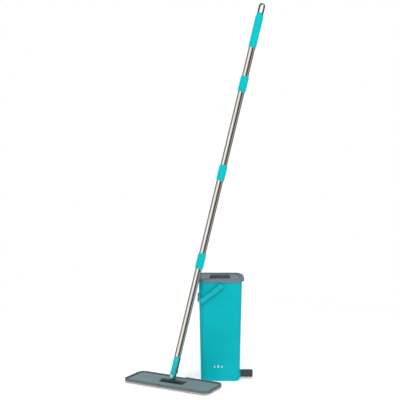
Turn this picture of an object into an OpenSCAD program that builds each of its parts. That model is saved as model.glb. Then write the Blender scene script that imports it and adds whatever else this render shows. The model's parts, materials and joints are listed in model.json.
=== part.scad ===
// Flat mop with a hands-free wringing bucket.
// Row frame: the origin is the middle of the bucket's base on the floor, +X to
// the drain side, +Y to the back, +Z up. All sizes are in millimetres.

/* [Bucket] */
// Outer width at the rim
bucket_w = 142; // [140:0.5:142.5]
// Outer depth at the rim
bucket_d = 144; // [140:1:145]
// Narrowing of width and depth from the rim to the base
bucket_taper = 14; // [10:1:14]
// Height of the shell up to its rim
bucket_h = 335; // [330:1:336]
// Wall thickness
bucket_wall = 2.5; // [2:0.25:3]
// Height of the handle's pivot above the floor
bail_z = 316; // [310:1:316]
// Distance from the pivot to the outside of the handle's crossbar
bail_reach = 89; // [88:1:92]
// Angle that the handle drops below level when it hangs against the wall
bail_drop = 37; // [34:1:38]
// Height of the drain's axis
drain_z = 17; // [16:0.5:24]
// Place of the drain's axis along the depth
drain_y = -26; // [-32:1:-20]

/* [Wringing insert] */
// Height of the collar's top face
collar_top = 340.5; // [340:0.5:342]
// Slot length across the bucket
slot_l = 118; // [114:1:122]
// Slot width for the folded head
slot_w = 24; // [20:1:26]
// Width of the wider middle that lets the pole pass
neck_w = 66; // [50:1:80]
// Radius of the wringing roller
roller_r = 8; // [6:0.5:9]

/* [Mop head] */
// Plate length
plate_l = 314; // [300:1:330]
// Plate width
plate_w = 115; // [108:1:116]
// Corner radius of the plate
plate_r = 22; // [16:1:26]
// Thickness of the microfibre pad
pad_t = 7.5; // [7.5:0.1:7.7]
// Middle of the plate beside the bucket, along X
head_x = -156; // [-175:0.5:-155]
// Middle of the plate in front of the bucket, along Y
head_y = -108; // [-120:0.5:-107.5]
// Turn of the plate on the floor
head_yaw = -28.7; // [-30:0.1:-27]

/* [Pole] */
// Lean of the pole along the plate's length
lean_long = 11.0; // [8:0.5:13]
// Lean of the pole across the plate, towards the back when negative
lean_short = -8.1; // [-10:0.5:-6]
// Tube outer diameter
tube_d = 21; // [20:0.5:21]
// Tube wall thickness
tube_wall = 0.8; // [0.6:0.1:1.2]
// Length of one screwed section
section_l = 293; // [280:1:300]
// Place of the lowest coupling above the head joint
first_joint = 384; // [376:1:390]
// Coupling sleeve diameter
sleeve_d = 26; // [25:0.5:27]
// Coupling sleeve length
sleeve_l = 52; // [46:1:58]
// Lower end of the grip above the head joint
grip_from = 1090; // [1084:1:1098]
// Upper end of the grip above the head joint
grip_to = 1198; // [1194:1:1204]
// Grip diameter
grip_d = 25; // [24:0.5:26]
// Outer end of the hanging loop above the head joint
loop_to = 1236; // [1232:1:1240]

/* [Hidden] */
$fn = 48;

// Colours
teal = [0.0, 0.71, 0.73];
bright_teal = [0.0, 0.78, 0.80];
collar_grey = [0.50, 0.54, 0.58];
plate_grey = [0.47, 0.53, 0.55];
dark_grey = [0.24, 0.26, 0.26];
drain_grey = [0.36, 0.39, 0.40];
steel = [0.75, 0.74, 0.72];
rubber = [0.12, 0.12, 0.13];
pad_white = [0.90, 0.91, 0.90];

// Running clearance on a radius, and a small cut overshoot
run = 0.05;
over = 1;

// Bucket heights and corner radii
shell_r = 18;
floor_t = 3;
base_w = bucket_w - bucket_taper;
base_d = bucket_d - bucket_taper;
// Handle strap and pivot
bail_strap = 14.5;
bail_thick = 4;
arm_thick = 3.5;
arm_gap = 0.5;
arm_in = bucket_d / 2 + 5 + arm_gap;
arm_out = arm_in + arm_thick;
pin_r = 4;
// Drain: the boss's outer and inner faces, and the radii from the inside out
boss_out = 68;
boss_in = 58.5;
bore_r = 6;
spout_r = 9;
flange_r = 12.4;
gasket_t = 1;
spout_end = boss_out + 34;
cap_r = 12;
// Collar and panel
collar_w = 145;
collar_d = 150;
skirt_z = 329;
flange_z = bucket_h + 0.3;
well_w = 126;
well_d = 132;
panel_t = 3.5;
panel_z = flange_z - panel_t;
slot_y = 19;
neck_y = 62;
divider_t = 4;
divider_z = 60;
roller_y = -11;
roller_z = 314;
axle_r = 3;
bracket_x = 58;
bracket_t = 4;
// Head stack: heights above the floor
plate_z = pad_t;
deck_z = 11.8;
rim_z = 14.5;
recess_z = 8.8;
recess_l = 88;
recess_w = 41;
head_axle_z = 13;
pivot_h = 17.5;
tongue_t = 10.4;
tongue_r = 6.2;
barrel_r = 3.9;
head_axle_r = 2;
// Hook strips under the plate, and the bearing caps over the swivel's axle
strip_l = 100;
strip_w = 80;
strip_t = 1.2;
strip_x = 96;
cap_x = 36;
cap_screw_y = 14;
cap_foot_t = 2;
fork_gap = 11;
fork_top = 8;
fork_end_r = 9;
connector_r = 10.5;
connector_top = 66;
swivel_r = 2.5;
// Lock button
button_t = 17.6;
button_r = 3.4;
// Pole
tube_r = tube_d / 2;
bore_tube_r = tube_r - tube_wall;
core_r = bore_tube_r - 0.1;
core_l = 64;
core_flange = 3;
joints_t = [first_joint, first_joint + section_l, first_joint + 2 * section_l];
// Hanging loop
loop_pin_t = grip_to + 4.5;
loop_w = 19;
loop_strap = 2.3;
loop_depth = 8;

// ---------- shared shapes and placements ----------

module rounded_rect(w, d, r) {
    square([w - 2 * r, d], center = true);
    square([w, d - 2 * r], center = true);
    for (sx = [-1, 1], sy = [-1, 1])
        translate([sx * (w / 2 - r), sy * (d / 2 - r)]) circle(r);
}

module rounded_slab(w, d, r, z0, z1) {
    translate([0, 0, z0]) linear_extrude(z1 - z0) rounded_rect(w, d, r);
}

// Bore or rod along X or Y, from one coordinate to another
module rod_x(r, x0, x1) {
    translate([x0, 0, 0]) rotate([0, 90, 0]) cylinder(r = r, h = x1 - x0);
}

module rod_y(r, y0, y1) {
    translate([0, y1, 0]) rotate([90, 0, 0]) cylinder(r = r, h = y1 - y0);
}

module ring_z(r_out, r_in, z0, z1) {
    difference() {
        translate([0, 0, z0]) cylinder(r = r_out, h = z1 - z0);
        translate([0, 0, z0 - over]) cylinder(r = r_in, h = z1 - z0 + 2 * over);
    }
}

module at_bail() { translate([0, 0, bail_z]) children(); }

module at_drain() { translate([0, drain_y, drain_z]) children(); }

module on_head() { translate([head_x, head_y, 0]) rotate([0, 0, head_yaw]) children(); }

// Origin on the axle that lies along the plate
module on_cradle() {
    on_head() translate([0, 0, head_axle_z]) rotate([lean_short, 0, 0]) children();
}

// Origin on the upper pivot, +Z up the pole
module on_pole() {
    on_cradle() translate([0, 0, pivot_h]) rotate([0, lean_long, 0]) children();
}

// ---------- bucket ----------

module shell_form(inset, z0, z1) {
    slab = 0.2;
    // share of the taper that is left at a height
    function w_at(z) = base_w + bucket_taper * z / bucket_h - 2 * inset;
    function d_at(z) = base_d + bucket_taper * z / bucket_h - 2 * inset;
    // rounded foot: three steps of inset over the first millimetres
    steps = inset == 0 ? [[0, 5], [1.4, 2], [5, 0]] : [[0, 0]];
    hull() {
        for (s = steps)
            translate([0, 0, z0 + s[0]]) linear_extrude(slab)
                rounded_rect(w_at(z0) - 2 * s[1], d_at(z0) - 2 * s[1], shell_r - inset - s[1], $fn = 32);
        translate([0, 0, z1 - slab]) linear_extrude(slab)
            rounded_rect(w_at(z1), d_at(z1), shell_r - inset, $fn = 32);
    }
}

module bucket_shell() {
    boss_r = 14;
    lug_r = 7.4;
    lug_in = bucket_d / 2 - 6;
    color(teal) difference() {
        union() {
            difference() {
                shell_form(0, 0, bucket_h);
                shell_form(bucket_wall, floor_t, bucket_h + over);
            }
            at_drain() rod_x(boss_r, boss_in, boss_out);
            at_bail() for (s = [0, 180]) rotate([0, 0, s]) rod_y(lug_r, lug_in, arm_in - 0.3);
        }
        at_drain() rod_x(spout_r + run, boss_in - over, boss_out + over);
        at_bail() for (s = [0, 180]) rotate([0, 0, s])
            rod_y(pin_r + run, lug_in - over, arm_in + over);
    }
}

module bail_pins() {
    head_r = 5.2;
    head_t = 1.6;
    color(teal) at_bail() for (s = [0, 180]) rotate([0, 0, s]) {
        rod_y(pin_r, bucket_d / 2 - 7, arm_out + 0.3);
        rod_y(head_r, arm_out + 0.3, arm_out + 0.3 + head_t);
    }
}

// Bulkhead outlet: flange outside, threaded tube through the wall
module drain_spout() {
    flange_t = 3.4;
    color(dark_grey) at_drain() difference() {
        union() {
            rod_x(spout_r, boss_in - 5, spout_end);
            rod_x(flange_r, boss_out + gasket_t, boss_out + gasket_t + flange_t);
        }
        rod_x(bore_r, boss_in - 5 - over, spout_end + over);
    }
}

module drain_gasket() {
    color(rubber) at_drain() difference() {
        rod_x(flange_r - 0.4, boss_out, boss_out + gasket_t);
        rod_x(spout_r + run, boss_out - over, boss_out + gasket_t + over);
    }
}

module drain_nut() {
    nut_t = 4;
    color(dark_grey) at_drain() difference() {
        translate([boss_in - nut_t, 0, 0]) rotate([0, 90, 0]) cylinder(r = 12, h = nut_t, $fn = 6);
        rod_x(spout_r + run, boss_in - nut_t - over, boss_in + over);
    }
}

// Rubber disc that the cap presses on the spout's end
module drain_seal() {
    color(rubber) at_drain() rod_x(spout_r - 0.5, spout_end + 0.3, spout_end + 2.3);
}

module drain_cap() {
    cap_from = boss_out + gasket_t + 4;
    cap_to = spout_end + 6.4;
    ribs = 20;
    rib_r = 0.7;
    color(drain_grey) at_drain() difference() {
        union() {
            rod_x(cap_r, cap_from, cap_to);
            for (i = [0 : ribs - 1]) rotate([i * 360 / ribs, 0, 0])
                translate([0, 0, cap_r - 0.2]) rod_x(rib_r, cap_from + 5, cap_to - 2);
        }
        rod_x(spout_r + 0.09, cap_from - over, spout_end + 2.6);
    }
}

// Flat strap bent to a U; its crossbar is flat where it hangs against the wall
module bail_handle() {
    corner = 14;
    bar_top = bail_strap / 2 - (bail_reach - bail_thick) * sin(bail_drop);
    wall_x = (base_w + bucket_taper * (bail_z + bar_top) / bucket_h) / 2 + 0.6;
    color(teal) at_bail() difference() {
        rotate([0, -bail_drop, 0]) union() {
            translate([0, 0, -bail_strap / 2]) linear_extrude(bail_strap) difference() {
                translate([-bail_reach / 2 + corner, 0])
                    rounded_rect(bail_reach + 2 * corner, 2 * arm_out, corner);
                translate([-bail_reach / 2 + corner + bail_thick, 0])
                    rounded_rect(bail_reach + 2 * corner, 2 * arm_in, corner - arm_thick);
                translate([0, -2 * arm_out]) square([4 * corner, 4 * arm_out]);
            }
            for (s = [0, 180]) rotate([0, 0, s]) rod_y(bail_strap / 2 + 1.5, arm_in, arm_out);
        }
        for (s = [0, 180]) rotate([0, 0, s]) rod_y(pin_r + run, arm_in - over, arm_out + over);
        translate([-wall_x, -arm_in, -bail_reach]) cube([wall_x, 2 * arm_in, bail_reach - 5]);
    }
}

// ---------- wringing insert ----------

module collar_ring() {
    lip_w = 6.5;
    lip_l = 96;
    color(collar_grey) difference() {
        union() {
            rounded_slab(collar_w, collar_d, 21, skirt_z, collar_top);
            // pull lip on the drain side
            translate([collar_w / 2, 0, 0])
                rounded_slab(2 * lip_w, lip_l, 6, skirt_z + 1, collar_top - 1);
        }
        rounded_slab(bucket_w + 0.8, bucket_d + 0.8, shell_r + 0.4, skirt_z - over, flange_z);
        rounded_slab(well_w, well_d, 14, flange_z - over, collar_top + over);
    }
}

module slot_cut(side) {
    for (part = [[slot_l, slot_y, slot_y + slot_w], [neck_w, slot_y, neck_y]])
        translate([0, side * (part[1] + part[2]) / 2, 0])
            rounded_slab(part[0], part[2] - part[1], 6, panel_z - over, flange_z + over);
}

module slot_panel() {
    color([0.62, 0.65, 0.68]) difference() {
        rounded_slab(well_w + 5, well_d + 4, 15, panel_z, flange_z);
        slot_cut(1);
        slot_cut(-1);
        for (x = [-48, -16, 16, 48]) translate([x, 0, panel_z - over])
            cylinder(r = 1.65, h = panel_t + 2 * over);
    }
}

// Dark guide between the two necks, which steers the pole to either slot
module neck_guide() {
    rise = 2.2;
    color(dark_grey) difference() {
        rounded_slab(neck_w + 2, 2 * slot_y - 1, 5, flange_z, flange_z + rise);
        for (x = [-16, 16]) translate([x, 0, flange_z - over]) cylinder(r = 3.6, h = rise + 2 * over);
    }
}

module divider_panel() {
    flange_w = 18;
    screw_depth = 12;
    color(collar_grey) difference() {
        union() {
            translate([-57, -divider_t / 2, divider_z]) cube([114, divider_t, panel_z - divider_z]);
            translate([-49.5, -flange_w / 2, panel_z - 3]) cube([99, flange_w, 3]);
        }
        for (x = [-48, -16, 16, 48]) translate([x, 0, panel_z - screw_depth])
            cylinder(r = 1.55, h = screw_depth + over);
    }
}

module panel_screws() {
    color(steel) for (x = [-48, -16, 16, 48]) translate([x, 0, 0]) {
        translate([0, 0, panel_z - 10]) cylinder(r = 1.5, h = 10 + panel_t);
        translate([0, 0, flange_z]) cylinder(r1 = 3.4, r2 = 2.4, h = 1.4);
    }
}

// Bristle strip that loosens dirt in the wash chamber
module wash_brush() {
    base_t = 3;
    tuft_l = 9;
    rows = 4;
    color(teal) translate([-52, divider_t / 2, 262]) cube([104, base_t, 40]);
    color(pad_white) for (i = [0 : 12], j = [0 : rows - 1])
        translate([(i - 6) * 8, 0, 267 + j * 10])
            rod_y(1.5, divider_t / 2 + base_t, divider_t / 2 + base_t + tuft_l);
}

module scraper_holder() {
    color(dark_grey) difference() {
        translate([-56, -divider_t / 2 - 7, 280]) cube([112, 7, 12]);
        translate([-56 - over, -divider_t / 2 - 7 - over, 285]) cube([112 + 2 * over, 5, 2.2]);
    }
}

module scraper_blade() {
    color(rubber) translate([-55, -slot_y + 1, 285.1])
        cube([110, slot_y - 1 - divider_t / 2 - 3, 2]);
}

module roller_bracket(side) {
    through = 80;
    color(dark_grey) difference() {
        union() {
            translate([side > 0 ? bracket_x : -bracket_x - bracket_t, roller_y - 8, roller_z])
                cube([bracket_t, 16, panel_z - roller_z]);
            translate([0, roller_y, roller_z])
                rod_x(8, side > 0 ? bracket_x : -bracket_x - bracket_t,
                    side > 0 ? bracket_x + bracket_t : -bracket_x);
            translate([side > 0 ? bracket_x - 8 : -bracket_x - bracket_t, roller_y - 8, panel_z - 3])
                cube([8 + bracket_t, 16, 3]);
        }
        translate([0, roller_y, roller_z]) rod_x(axle_r + run, -through, through);
    }
}

module roller_bracket_left() { roller_bracket(-1); }

module roller_bracket_right() { roller_bracket(1); }

module roller_axle() {
    color(steel) translate([0, roller_y, roller_z])
        rod_x(axle_r, -bracket_x - bracket_t, bracket_x + bracket_t);
}

module squeeze_roller() {
    half = bracket_x - 1.5;
    color([0.85, 0.87, 0.87]) translate([0, roller_y, roller_z]) difference() {
        rod_x(roller_r, -half, half);
        rod_x(axle_r + run, -half - over, half + over);
    }
}

// ---------- pole ----------

module lower_connector() {
    spigot_l = 24;
    color(bright_teal) on_pole() difference() {
        union() {
            cylinder(r = connector_r, h = connector_top);
            // round fork ends about the pivot
            intersection() {
                rod_y(fork_end_r, -connector_r, connector_r);
                translate([0, 0, -connector_r]) cylinder(r = connector_r, h = 2 * connector_r);
            }
            translate([0, 0, connector_top]) cylinder(r = core_r, h = spigot_l);
        }
        // fork gap for the cradle's tongue
        translate([-2 * connector_r, -fork_gap / 2, -2 * connector_r])
            cube([4 * connector_r, fork_gap, 2 * connector_r + fork_top]);
        rod_y(swivel_r + run, -2 * connector_r, 2 * connector_r);
        // pocket of the lock button
        translate([0, 0, button_t]) rod_x(button_r + run, -4, 2 * connector_r);
    }
}

// Dark rail along the connector's side, round the lock button
module button_rail() {
    proud = 1;
    width = 8.5;
    color(dark_grey) on_pole() difference() {
        intersection() {
            ring_z(connector_r + proud, connector_r + run, fork_top + 1.5, connector_top - 2);
            translate([0, -width / 2, 0]) cube([2 * connector_r, width, connector_top]);
        }
        translate([0, 0, button_t]) rod_x(button_r + run, 0, 2 * connector_r);
    }
}

module pivot_pin() {
    head_r = 4.2;
    color("white") on_pole() {
        rod_y(swivel_r, -connector_r, connector_r);
        for (s = [0, 180]) rotate([0, 0, s])
            intersection() {
                rod_y(head_r, connector_r, connector_r + 1.3);
                cylinder(r = connector_r + 1.3, h = 4 * head_r, center = true);
            }
    }
}

// Small helical spring behind the button: rings of points swept along a helix
module button_spring() {
    sides = 8;
    turns = 4;
    per_turn = 14;
    rings = turns * per_turn;
    coil_r = 2.1;
    wire_r = 0.35;
    from_x = -3.5;
    to_x = 2.9;
    function p(i, k) = let (a = 360 * i / per_turn, b = 360 * k / sides,
            r = coil_r + wire_r * cos(b),
            x = from_x + (to_x - from_x) * i / rings + wire_r * sin(b))
        [x, r * cos(a), r * sin(a)];
    pts = [for (i = [0 : rings], k = [0 : sides - 1]) p(i, k)];
    walls = [for (i = [0 : rings - 1], k = [0 : sides - 1]) let (n = (k + 1) % sides)
        [i * sides + k, i * sides + n, (i + 1) * sides + n, (i + 1) * sides + k]];
    caps = [[for (k = [sides - 1 : -1 : 0]) k], [for (k = [0 : sides - 1]) rings * sides + k]];
    color(steel) on_pole() translate([0, 0, button_t]) polyhedron(pts, concat(walls, caps));
}

module lock_button() {
    proud = 3;
    color(dark_grey) on_pole() translate([0, 0, button_t]) rod_x(button_r, 3.3, connector_r + proud);
}

module tube(t0, t1) {
    color(steel) on_pole() ring_z(tube_r, bore_tube_r, t0, t1);
}

module lower_tube() { tube(connector_top, joints_t[0] - core_flange / 2); }

module lower_mid_tube() { tube(joints_t[0] + core_flange / 2, joints_t[1] - core_flange / 2); }

module upper_mid_tube() { tube(joints_t[1] + core_flange / 2, joints_t[2] - core_flange / 2); }

module upper_tube() { tube(joints_t[2] + core_flange / 2, grip_to - 6); }

// Sleeve with a slimmer collar at each end
module sleeve(i) {
    step = 5;
    color(bright_teal) on_pole() translate([0, 0, joints_t[i]]) difference() {
        union() {
            cylinder(r = sleeve_d / 2, h = sleeve_l - 2 * step, center = true);
            cylinder(r = sleeve_d / 2 - 0.8, h = sleeve_l, center = true);
        }
        cylinder(r = tube_r + run, h = sleeve_l + 2 * over, center = true);
    }
}

module sleeve_lower() { sleeve(0); }

module sleeve_middle() { sleeve(1); }

module sleeve_upper() { sleeve(2); }

// Threaded plug inside two tube ends
module core(i) {
    color(dark_grey) on_pole() translate([0, 0, joints_t[i]]) {
        cylinder(r = core_r, h = core_l, center = true);
        cylinder(r = tube_r - 0.1, h = core_flange, center = true);
    }
}

module core_lower() { core(0); }

module core_middle() { core(1); }

module core_upper() { core(2); }

module grip() {
    color(bright_teal) on_pole() difference() {
        union() {
            translate([0, 0, grip_from]) cylinder(r = grip_d / 2 - 0.8, h = 6);
            translate([0, 0, grip_from + 4]) cylinder(r = grip_d / 2, h = grip_to - grip_from - 8);
            translate([0, 0, grip_to - 6]) cylinder(r = grip_d / 2 - 0.8, h = 6);
        }
        translate([0, 0, grip_from - over]) cylinder(r = tube_r + run, h = grip_to - grip_from - 5 + over);
        translate([0, 0, grip_to - 6]) cylinder(r = bore_tube_r, h = 6 + over);
    }
}

// Plug in the grip's end with a flat-sided dome that carries the loop's pin
module end_plug() {
    dome_r = 3.6;
    flat_w = loop_w - 2 * loop_strap - 0.8;
    color(bright_teal) on_pole() difference() {
        union() {
            translate([0, 0, grip_to - 24]) cylinder(r = core_r, h = 24.5);
            intersection() {
                union() {
                    translate([0, 0, loop_pin_t]) rod_x(dome_r, -flat_w / 2, flat_w / 2);
                    translate([-flat_w / 2, -dome_r, grip_to - 1]) cube([flat_w, 2 * dome_r, loop_pin_t - grip_to + 1]);
                }
                translate([0, 0, grip_to - 2]) cylinder(r = bore_tube_r - 0.2, h = 20);
            }
        }
        translate([0, 0, loop_pin_t]) rod_x(1.8 + run, -2 * dome_r, 2 * dome_r);
    }
}

module loop_pin() {
    color(steel) on_pole() translate([0, 0, loop_pin_t]) rod_x(1.8, -loop_w / 2 - 0.6, loop_w / 2 + 0.6);
}

// Flat strap bent to a U over the pole's end
module hanging_loop() {
    r_out = loop_w / 2;
    r_in = r_out - loop_strap;
    crown = loop_to - loop_pin_t - r_out;
    eye_r = 3.9;
    color(dark_grey) on_pole() translate([0, 0, loop_pin_t]) difference() {
        union() {
            translate([0, loop_depth / 2, 0]) rotate([90, 0, 0]) linear_extrude(loop_depth) {
                difference() {
                    union() {
                        translate([0, crown]) circle(r_out);
                        translate([-r_out, 0]) square([loop_w, crown]);
                    }
                    translate([0, crown]) circle(r_in);
                    translate([-r_in, -over]) square([2 * r_in, crown + over]);
                }
            }
            for (s = [0, 180]) rotate([0, 0, s]) rod_x(eye_r, r_in, r_out);
        }
        rod_x(1.8 + run, -loop_w, loop_w);
    }
}

// ---------- cradle and head ----------

module cradle() {
    half = 29;
    web_top = 5.5;
    color(dark_grey) on_cradle() difference() {
        union() {
            rod_x(barrel_r, -half, half);
            // tongue up to the pivot, with a rounded top
            translate([-tongue_r, -tongue_t / 2, 0]) cube([2 * tongue_r, tongue_t, pivot_h]);
            translate([0, 0, pivot_h]) rod_y(tongue_r, -tongue_t / 2, tongue_t / 2);
            // webs beside the tongue
            for (s = [-1, 1]) translate([s * 9 - 3, -2, 0]) cube([6, 4, web_top]);
        }
        rod_x(head_axle_r + run, -half - over, half + over);
        translate([0, 0, pivot_h]) rod_y(swivel_r + run, -tongue_t, tongue_t);
    }
}

module cradle_axle() {
    color(steel) on_cradle() rod_x(head_axle_r, -recess_l / 2 + 2, recess_l / 2 - 2);
}

module mop_plate() {
    rim_w = 6;
    groove_w = 3;
    notch_l = 40;
    color(plate_grey) on_head() difference() {
        rounded_slab(plate_l, plate_w, plate_r, plate_z, rim_z);
        // deck inside the rim, and the groove round it
        rounded_slab(plate_l - 2 * rim_w, plate_w - 2 * rim_w, plate_r - rim_w, deck_z, rim_z + over);
        difference() {
            rounded_slab(plate_l - 2 * rim_w, plate_w - 2 * rim_w, plate_r - rim_w, deck_z - 1.6, rim_z + over);
            rounded_slab(plate_l - 2 * rim_w - 2 * groove_w, plate_w - 2 * rim_w - 2 * groove_w,
                plate_r - rim_w - groove_w, deck_z - 2, rim_z + 2 * over);
        }
        // recess of the swivel base
        rounded_slab(recess_l, recess_w, 4, recess_z, rim_z + over);
        // notches in the long rims, where the pole lies when it is tilted flat
        for (s = [-1, 1]) translate([0, s * plate_w / 2, 0])
            rounded_slab(notch_l, 2 * rim_w + 2, 5, deck_z, rim_z + over);
        // pockets of the hook strips
        for (s = [-1, 1]) translate([s * strip_x, 0, 0])
            rounded_slab(strip_l + 0.4, strip_w + 0.4, 3, plate_z - over, plate_z + strip_t);
        for (s = [-1, 1], q = [-1, 1]) translate([s * cap_x, q * cap_screw_y, plate_z - over])
            cylinder(r = 1.65, h = 5);
    }
}

module bearing_cap(side) {
    cap_l = 10;
    foot_w = 38;
    // trimmed below the axle, so that the dome stays clear of the recess floor
    dome_r = head_axle_z - recess_z;
    color(dark_grey) on_head() translate([side * cap_x, 0, 0]) difference() {
        union() {
            translate([0, 0, head_axle_z]) rod_x(dome_r, -cap_l / 2, cap_l / 2);
            translate([-cap_l / 2, -dome_r, recess_z]) cube([cap_l, 2 * dome_r, head_axle_z - recess_z]);
            translate([-cap_l / 2, -foot_w / 2, recess_z]) cube([cap_l, foot_w, cap_foot_t]);
        }
        translate([0, 0, head_axle_z]) rod_x(head_axle_r + run, -cap_l, cap_l);
        for (q = [-1, 1]) translate([0, q * cap_screw_y, recess_z - over]) cylinder(r = 1.65, h = 6);
    }
}

module bearing_cap_left() { bearing_cap(-1); }

module bearing_cap_right() { bearing_cap(1); }

module cap_screws() {
    color(steel) on_head() for (s = [-1, 1], q = [-1, 1]) translate([s * cap_x, q * cap_screw_y, 0]) {
        translate([0, 0, plate_z + 0.3]) cylinder(r = 1.6, h = recess_z + cap_foot_t - plate_z - 0.3);
        translate([0, 0, recess_z + cap_foot_t]) cylinder(r = 3.2, h = 1.2);
    }
}

module hook_strips() {
    color([0.8, 0.8, 0.78]) on_head() for (s = [-1, 1]) translate([s * strip_x, 0, 0])
        rounded_slab(strip_l, strip_w, 3, plate_z, plate_z + strip_t);
}

module mop_pad() {
    inset = 2;
    color(pad_white) on_head()
        rounded_slab(plate_l - 2 * inset, plate_w - 2 * inset, plate_r - inset, 0, pad_t);
}

bucket_shell();
bail_pins();
drain_spout();
drain_gasket();
drain_nut();
drain_seal();
drain_cap();
bail_handle();
collar_ring();
slot_panel();
neck_guide();
divider_panel();
wash_brush();
scraper_holder();
scraper_blade();
roller_bracket_left();
roller_bracket_right();
roller_axle();
panel_screws();
squeeze_roller();
lower_connector();
button_rail();
pivot_pin();
button_spring();
lock_button();
lower_tube();
lower_mid_tube();
upper_mid_tube();
upper_tube();
sleeve_lower();
sleeve_middle();
sleeve_upper();
core_lower();
core_middle();
core_upper();
grip();
end_plug();
loop_pin();
hanging_loop();
cradle();
cradle_axle();
mop_plate();
bearing_cap_left();
bearing_cap_right();
cap_screws();
hook_strips();
mop_pad();
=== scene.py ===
# Looks of the flat mop and its wringing bucket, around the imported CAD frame. Metres, +Z up.
import json
import math
import random

import bmesh
import bpy
from mathutils import Matrix, Vector, noise
from mathutils.bvhtree import BVHTree


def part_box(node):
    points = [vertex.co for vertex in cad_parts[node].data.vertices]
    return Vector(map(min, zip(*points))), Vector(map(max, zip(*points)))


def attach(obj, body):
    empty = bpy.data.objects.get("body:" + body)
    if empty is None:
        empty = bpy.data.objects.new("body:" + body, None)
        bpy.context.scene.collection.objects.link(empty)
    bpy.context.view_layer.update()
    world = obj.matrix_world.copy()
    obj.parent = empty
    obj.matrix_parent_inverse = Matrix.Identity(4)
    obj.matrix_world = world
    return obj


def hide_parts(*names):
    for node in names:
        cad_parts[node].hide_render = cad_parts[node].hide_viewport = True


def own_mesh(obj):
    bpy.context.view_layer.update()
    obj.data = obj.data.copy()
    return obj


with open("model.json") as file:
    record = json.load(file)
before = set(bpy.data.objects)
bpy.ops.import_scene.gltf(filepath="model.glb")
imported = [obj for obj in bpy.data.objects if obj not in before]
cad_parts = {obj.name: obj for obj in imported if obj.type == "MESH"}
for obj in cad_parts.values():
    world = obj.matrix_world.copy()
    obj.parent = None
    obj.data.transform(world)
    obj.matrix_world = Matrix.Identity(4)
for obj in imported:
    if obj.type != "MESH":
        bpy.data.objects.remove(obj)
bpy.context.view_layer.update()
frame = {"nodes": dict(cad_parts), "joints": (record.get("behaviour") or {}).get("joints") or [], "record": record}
nodes = frame["nodes"]
joints = {j["name"]: j for j in frame["joints"]}
bodies = frame["record"]["behaviour"]["bodies"]
body_of_node = {n: b for b, members in bodies.items() for n in members}
slot_of_node = {s["node"]: s["material_slot"] for s in frame["record"]["subparts"]}
MM = 0.001
TAU = 2 * math.pi
random.seed(7)


def axes_frame(origin, x_axis, y_axis):
    """Local frame at origin, with the two axes given and their cross product."""
    x, y = Vector(x_axis).normalized(), Vector(y_axis).normalized()
    matrix = Matrix((x, y, x.cross(y))).transposed().to_4x4()
    matrix.translation = Vector(origin)
    return matrix


def local_box(node, local):
    """Lowest and highest corner of a CAD node in a local frame."""
    inverse = local.inverted()
    points = [inverse @ v.co for v in nodes[node].data.vertices]
    return [Vector(f(p[i] for p in points) for i in range(3)) for f in (min, max)]


UP = Vector((0, 0, 1))
along_head = Vector(joints["head_tilt"]["axis"])
head_centre = Vector(joints["head_tilt"]["pos_m"]) * Vector((1, 1, 0))
HEAD = axes_frame(head_centre, along_head, UP.cross(along_head))
POLE = axes_frame(joints["head_flip"]["pos_m"], -Vector(joints["button_press"]["axis"]),
                  joints["head_flip"]["axis"])
ROW = Matrix.Identity(4)
DRAIN = axes_frame(Vector(joints["drain_cap_spin"]["pos_m"]) * Vector((0, 1, 1)), (0, 1, 0), (0, 0, 1))
ROLLER = axes_frame(joints["roller_spin"]["pos_m"], (0, 1, 0), (0, 0, 1))

# ---------------------------------------------------------------- camera, stage and light

scene = bpy.context.scene
scene.view_settings.view_transform = "Standard"

camera_data = bpy.data.cameras.new("camera")
camera_data.sensor_width = 36
camera_data.lens = 69.9
camera = bpy.data.objects.new("camera", camera_data)
camera.location = (-0.0671, -2.5923, 0.7338)
DOWNWARD_TILT = 3.05
camera.rotation_euler = (math.radians(90 - DOWNWARD_TILT), 0, 0)
scene.collection.objects.link(camera)
scene.camera = camera


def add_area(name, where, target, size, power):
    """A soft box at where, pointing at target. Glossy surfaces don't mirror it."""
    data = bpy.data.lights.new(name, "AREA")
    data.shape = "RECTANGLE"
    data.size, data.size_y = size
    data.energy = power
    lamp = bpy.data.objects.new(name, data)
    lamp.location = where
    lamp.rotation_euler = (Vector(target) - Vector(where)).to_track_quat("-Z", "Y").to_euler()
    lamp.visible_glossy = False
    scene.collection.objects.link(lamp)


add_area("key_front", (-0.9, -2.4, 2.3), (0, 0, 0.4), (1.0, 1.0), 40)
add_area("side_right", (1.7, -1.1, 1.5), (0, 0, 0.4), (0.5, 1.4), 10)
add_area("top", (0.1, 0.1, 2.6), (0, 0, 0), (1.4, 1.4), 20)
add_area("back_left", (-1.5, 2.2, 1.8), (0, 0, 0.4), (1.0, 1.4), 14)


def turn_ramp(tree, angle, stops):
    """Grey round the horizon: stops are (share of a turn from the viewer, clockwise, grey)."""
    ramp = tree.nodes.new("ShaderNodeValToRGB")
    ramp.color_ramp.elements[0].position = stops[0][0]
    ramp.color_ramp.elements[1].position = stops[-1][0]
    for place, _ in stops[1:-1]:
        ramp.color_ramp.elements.new(place)
    for element, (_, grey) in zip(ramp.color_ramp.elements, stops):
        element.color = (grey, grey * 0.985, grey * 0.965, 1)
    tree.links.new(angle, ramp.inputs["Fac"])
    shade = tree.nodes.new("ShaderNodeBackground")
    tree.links.new(ramp.outputs["Color"], shade.inputs["Color"])
    return shade


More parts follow.
